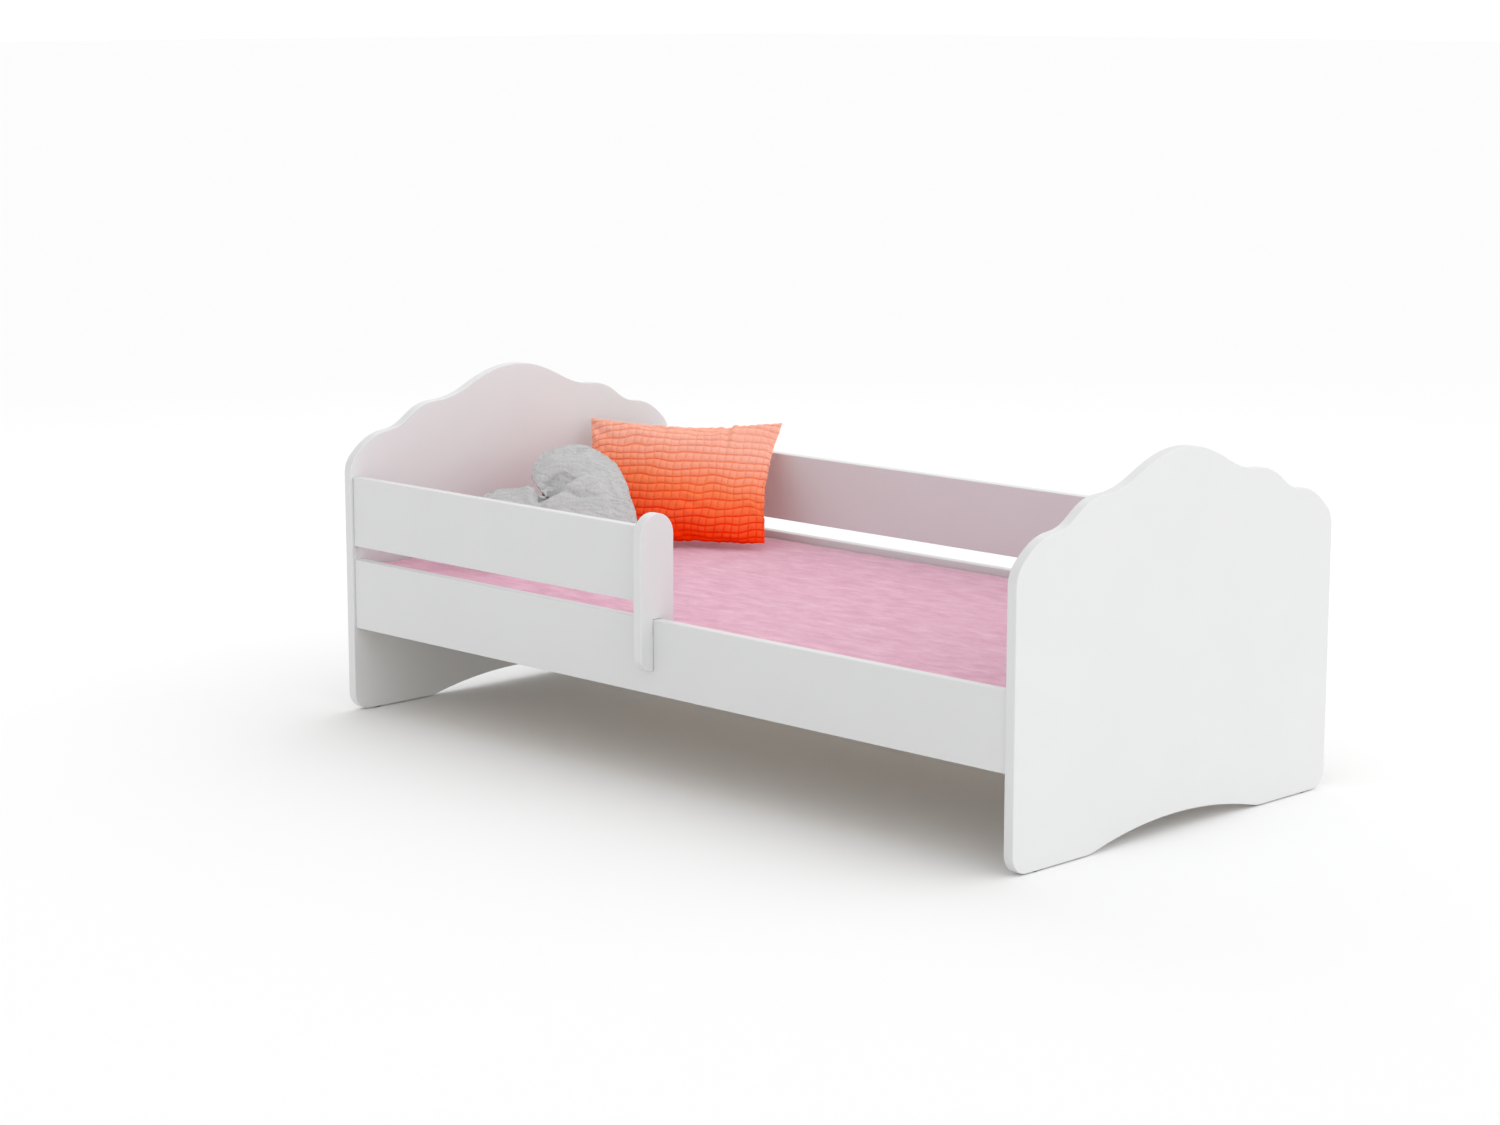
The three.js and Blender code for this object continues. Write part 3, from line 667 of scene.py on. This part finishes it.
def drawn_to(cushion, seam_line_as_cut, seam_line, thickness):
    """Draws a stuffed cushion's seam out to its finished line, and sets its thickness."""
    points = mesh_points(cushion)
    seam = np.array(seam_line)
    moves = seam - points[:len(seam), :2]
    flat = flat_places(cushion)
    flat[:len(seam)] = seam_line_as_cut
    gaps = np.linalg.norm(flat[:, None] - flat[None, :len(seam)], axis=2)
    pull = 1 / (gaps + 0.004) ** 2.5
    points[:, :2] += (pull @ moves) / pull.sum(axis=1)[:, None]
    points[:, 2] *= thickness / (points[:, 2].max() - points[:, 2].min())
    set_points(cushion, points)


def smoothed(cushion, levels):
    only(cushion)
    bpy.ops.object.mode_set(mode="EDIT")
    bpy.ops.mesh.select_all(action="SELECT")
    bpy.ops.mesh.delete_loose()
    bpy.ops.object.mode_set(mode="OBJECT")
    bpy.ops.object.modifier_add(type="SUBSURF")
    cushion.modifiers[-1].levels = levels
    cushion.modifiers[-1].render_levels = levels
    bpy.ops.object.modifier_apply(modifier=cushion.modifiers[-1].name)
    bpy.ops.object.shade_smooth()


def flat_places(cushion):
    """Where each point lies on the cloth as it was cut."""
    loops = cushion.data.loops
    corner = np.empty(len(loops), dtype=int)
    spot = np.empty(len(loops) * 2)
    loops.foreach_get("vertex_index", corner)
    cushion.data.uv_layers["cloth"].data.foreach_get("uv", spot)
    places = np.zeros((len(cushion.data.vertices), 2))
    places[corner] = spot.reshape(-1, 2)
    return places


def folded(places, folds):
    """The depth of a cushion's folds at each place: (line, depth, width, reach) for each fold."""
    depths = np.zeros(len(places))
    for line, depth, width, reach in folds:
        line = np.array(line) / 1000
        room, walked = measured_to(places, line, closed=False)
        away = np.linalg.norm(places - line[0], axis=1)
        fading = np.exp(-(walked / reach) ** 2 - (away / reach / 1.6) ** 4)
        valley = np.exp(-(room / width) ** 2) - 0.45 * np.exp(-((room - 2 * width) / width) ** 2)
        depths += depth * valley * fading
    return depths


def puckered(places, seam_line, spacing, depth):
    """Small gathers that run in from the seam and fade."""
    room, walked = measured_to(places, np.array(seam_line))
    beat = np.sin(walked * 2 * math.pi / spacing + 2.5 * np.sin(walked * 37))
    return depth * beat * np.exp(-room / 0.016) * np.clip(room / 0.004, 0, 1)


def stand_pillow(cushion, place, turn):
    """Turns a pillow to its heading and lean, and lets the mattress press its underside flat."""
    heading, lean, spin = (math.radians(angle) for angle in turn)
    stood = (
        Matrix.Translation(place) @ Matrix.Rotation(heading, 4, "Z")
        @ Matrix.Rotation(lean, 4, "X") @ Matrix.Rotation(spin, 4, "Z")
    )
    cushion.data.transform(stood)
    points = mesh_points(cushion)
    rest = mattress_high.z + 0.0008
    above = points[:, 2] - rest
    points[:, 2] = rest + np.where(above > 0.006, above, 0.006 * np.exp((above - 0.006) / 0.006))
    set_points(cushion, points)


def rectangle_line(width, height, across, up, bow):
    """A closed rectangle whose ends, foot and head bow in by bow between its corners."""
    turn = np.linspace(-1, 1, across, endpoint=False)
    rise = np.linspace(-1, 1, up, endpoint=False)
    waist, foot, dip = (depth * (1 - line ** 2) for depth, line in zip(bow, (rise, turn, turn)))
    return np.vstack([
        np.column_stack([turn * width / 2, foot - height / 2]),
        np.column_stack([width / 2 - waist, rise * height / 2]),
        np.column_stack([-turn * width / 2, height / 2 - dip]),
        np.column_stack([waist - width / 2, -rise * height / 2]),
    ])


across, up = (round(side / CLOTH_STEP) for side in QUILT_CUT)
quilt_line = rectangle_line(*QUILT_CUT, across, up, (-0.004, -0.004, -0.004))
quilt = cut_two_layers("orange_pillow", quilt_line, CLOTH_STEP)
stuff(quilt)
drawn_to(quilt, quilt_line, rectangle_line(*QUILT_SIZE, across, up, QUILT_BOW), QUILT_THICKNESS)
smoothed(quilt, 2)
points = mesh_points(quilt)
normals = mesh_normals(quilt)
cloth = flat_places(quilt)
wobble = wander(np.column_stack([cloth, points[:, 2]]), 21, 2) * QUILT_WOBBLE
sewn = cloth + wobble[:, None]
columns, rows = np.abs(np.sin(sewn * math.pi / QUILT_SQUARE)).T
puffs = np.sqrt(rows) * (0.6 + 0.4 * np.sqrt(columns)) - 0.8
fade = np.clip(measured_to(cloth, quilt_line)[0] / 0.012, 0, 1)
raised = puffs * fade * QUILT_PUFF + puckered(cloth, quilt_line, 0.019, 0.0008)
raised -= np.where(normals[:, 2] > 0, folded(points[:, :2], QUILT_FOLDS), 0)
set_points(quilt, points + normals * raised[:, None])
corner = np.empty(len(quilt.data.loops), dtype=int)
quilt.data.loops.foreach_get("vertex_index", corner)
quilt.data.uv_layers["cloth"].data.foreach_set("uv", sewn[corner].ravel())
stand_pillow(quilt, QUILT_PLACE, QUILT_TURN)

# Painted shade: the colour is darkened along the stitch lines, standing in for the shade that falls in
# the stitched grooves.
STITCH_PAINTED_SHADE = 0.22
STITCH_WIDTH = 0.0024
# Painted light and shade: the orange is painted paler, nearly peach, towards the top and the right of the
# cloth, standing in for light from above and sheen, and deeper towards the foot, standing in for shade.
QUILT_PAINTED_LIGHT_RIGHTWARD = 0.55
ORANGE_PAINTED_HIGHLIGHT = (1.0, 0.48, 0.36, 1)
ORANGE_MIDDLE = (1.0, 0.225, 0.08, 1)
ORANGE_PAINTED_SHADE = (1.0, 0.032, 0.0, 1)
quilt_cloth, quilt_tree, quilt_shader = new_material("orange_quilted_cotton", ORANGE_MIDDLE, 0.95, 0.03)
quilt_split = node(quilt_tree, "ShaderNodeSeparateXYZ")
quilt_tree.links.new(scaled_coords(quilt_tree, (1, 1, 1), "UV"), quilt_split.inputs[0])
foot, head = -QUILT_CUT[1] / 2, QUILT_CUT[1] / 2
height = spread_to(quilt_tree, quilt_split.outputs["Y"], -STITCH_PAINTED_SHADE, 1 - STITCH_PAINTED_SHADE, foot, head)
heather = noise_of(quilt_tree, scaled_coords(quilt_tree, (500, 900, 1), "UV"), 1.0, 3, 0.7)
stitches = []
for axis, shallowest in (("X", 0.5), ("Y", 0.0)):
    beat = combined(quilt_tree, "PINGPONG", quilt_split.outputs[axis], QUILT_SQUARE / 2)
    stitches.append(spread_to(quilt_tree, beat, shallowest, 1, 0, STITCH_WIDTH))
deepest = combined(quilt_tree, "MINIMUM", *stitches)
# Painted light: the ramp rises towards the head and towards the right of the cloth.
painted_light_ramp = combined(quilt_tree, "MULTIPLY_ADD", quilt_split.outputs["X"], QUILT_PAINTED_LIGHT_RIGHTWARD, height)
speckled = combined(quilt_tree, "MULTIPLY_ADD", heather, 0.3, painted_light_ramp)
# Painted shade in the stitch grooves.
with_painted_stitch_shade = combined(quilt_tree, "MULTIPLY_ADD", deepest, STITCH_PAINTED_SHADE, speckled)
tone = ramp_of(quilt_tree, with_painted_stitch_shade, [
    (0.25, ORANGE_PAINTED_SHADE), (0.57, ORANGE_MIDDLE), (0.90, ORANGE_PAINTED_HIGHLIGHT),
])
quilt_tree.links.new(tone, quilt_shader.inputs["Base Color"])
under = bump_into(quilt_tree, quilt_shader, deepest, 0.0011, 0.9)
bump_into(quilt_tree, quilt_shader, heather, 0.0004, 0.6, under)
quilt.data.materials.append(quilt_cloth)
finish_piece(quilt, "quilted_pillow", "orange_quilt", "quilted_pillow")

# ------------------------------------------------------------------ heart pillow
# Pale grey linen, two hearts sewn together with a narrow seam ridge and stuffed. It lies on its
# point in front of the other pillow, with folds drawn into the cleft between its lobes.

HEART_HALF = 0.187
HEART_THICKNESS = 0.060
HEART_PLACE = tuple(side + corner for side, corner in zip((0.274, 0.333, 0.390), BED_CORNER))
HEART_TURN = (64, 35, 37)
HEART_CUT_ROOM = 1.07
HEART_STITCHES = 116
SEAM_GROOVE = 0.0018
HEART_FULLNESS = 0.42
LOBE_FULLNESS = 0.05
WRINKLE_DEPTH = 0.0024
WRINKLE_PACE = (20, 62, 30)
CLEFT = (-0.004, 0.066)
CLEFT_PINCH = 0.7
CLEFT_REACH = 0.040
CLEFT_WIDTH = 0.5
SLACK_LOBE = 0.5
HEART_FOLDS = (
    (((-4, 53), (28, 56), (56, 56), (80, 51), (98, 41), (112, 24)), 0.025, 0.017, 0.110),
    (((-4, 48), (26, 48), (50, 45), (68, 39), (84, 29), (104, 14)), 0.009, 0.007, 0.100),
    (((0, 58), (24, 65), (48, 70)), 0.005, 0.005, 0.060),
    (((2, 54), (20, 28), (32, -6)), 0.005, 0.009, 0.07),
    (((-4, 54), (-34, 46), (-62, 22)), 0.005, 0.010, 0.08),
    (((60, -70), (88, -40), (104, -4)), 0.004, 0.010, 0.10),
    (((150, 92), (126, 92), (100, 104)), 0.004, 0.009, 0.07),
    (((168, 30), (140, 36), (112, 56)), 0.003, 0.008, 0.07),
)


def heart_line(half, count):
    """The heart's outline, a little fuller towards its point, in evenly spaced stitches."""
    turns = np.linspace(0, 2 * math.pi, 4000, endpoint=False)
    xs = -16 * np.sin(turns) ** 3
    ys = 13 * np.cos(turns) - 5 * np.cos(2 * turns) - 2 * np.cos(3 * turns) - np.cos(4 * turns)
    fuller = 1 + HEART_FULLNESS * np.exp(-((ys + 11.5) / 4.2) ** 2)
    fuller += LOBE_FULLNESS * np.exp(-((ys - 9) / 3) ** 2)
    parted = CLEFT_WIDTH * np.sign(xs) * np.exp(-((ys - 8) / 2) ** 2 - (xs / 3) ** 2)
    dense = np.column_stack([xs * fuller + parted, ys]) * half / 16
    lengths = np.linalg.norm(np.roll(dense, -1, axis=0) - dense, axis=1)
    walked = np.concatenate([[0], np.cumsum(lengths)[:-1]])
    marks = np.linspace(0, lengths.sum(), count, endpoint=False)
    return dense[np.searchsorted(walked, marks, side="right") - 1]


heart_cut = heart_line(HEART_HALF * HEART_CUT_ROOM, HEART_STITCHES)
heart = cut_two_layers("heart_pillow_grey", heart_cut, CLOTH_STEP)
stuff(heart)
drawn_to(heart, heart_cut, heart_line(HEART_HALF, HEART_STITCHES), HEART_THICKNESS)
points = mesh_points(heart)
from_cleft = np.linalg.norm(points[:, :2] - CLEFT, axis=1)
points[:, 2] *= 1 - CLEFT_PINCH * np.exp(-(from_cleft / CLEFT_REACH) ** 2)
slack = 1 / (1 + np.exp((points[:, 0] - 0.002) / 0.012)) / (1 + np.exp((0.02 - points[:, 1]) / 0.03))
points[:, 2] *= 1 - SLACK_LOBE * slack
set_points(heart, points)
smoothed(heart, 2)
points = mesh_points(heart)
normals = mesh_normals(heart)
cloth = flat_places(heart)
room = measured_to(cloth, heart_cut)[0]
raised = puckered(cloth, heart_cut, 0.023, 0.0013)
raised -= np.exp(-((room - 0.0075) / 0.0035) ** 2) * SEAM_GROOVE
raised -= np.where(normals[:, 2] > 0, folded(points[:, :2], HEART_FOLDS), 0)
slanted = np.column_stack([cloth[:, 0] - cloth[:, 1], cloth[:, 0] + cloth[:, 1], points[:, 2]])
wrinkles = np.abs(wander(slanted * WRINKLE_PACE, 1, 5))
raised -= WRINKLE_DEPTH * np.exp(-(wrinkles / 0.12) ** 2) * np.clip(room / 0.02, 0, 1)
set_points(heart, points + normals * raised[:, None])
stand_pillow(heart, HEART_PLACE, HEART_TURN)

LINEN_TONES = ((0.41, 0.41, 0.41, 1), (0.53, 0.53, 0.53, 1), (0.65, 0.65, 0.65, 1))
linen, linen_tree, linen_shader = new_material("grey_linen", LINEN_TONES[1], 0.92, 0.12)
linen_shader.inputs["Sheen Weight"].default_value = 0.15
slubs = noise_of(linen_tree, scaled_coords(linen_tree, (160, 1100, 1), "UV"), 1.0, 3, 0.7)
slubs_up = noise_of(linen_tree, scaled_coords(linen_tree, (1100, 160, 1), "UV"), 1.0, 3, 0.7)
weave = combined(linen_tree, "ADD", slubs, slubs_up)
halved = combined(linen_tree, "MULTIPLY", weave, 0.5)
tone = ramp_of(linen_tree, halved, [
    (0.35, LINEN_TONES[0]), (0.5, LINEN_TONES[1]), (0.65, LINEN_TONES[2]),
])
linen_tree.links.new(tone, linen_shader.inputs["Base Color"])
creases = noise_of(linen_tree, scaled_coords(linen_tree, (24, 58, 1), "UV"), 1.0, 5, 0.62)
under = bump_into(linen_tree, linen_shader, creases, 0.007, 0.85)
bump_into(linen_tree, linen_shader, halved, 0.0004, 0.7, under)
heart.data.materials.append(linen)
finish_piece(heart, "heart_pillow", "grey_linen", "heart_pillow")
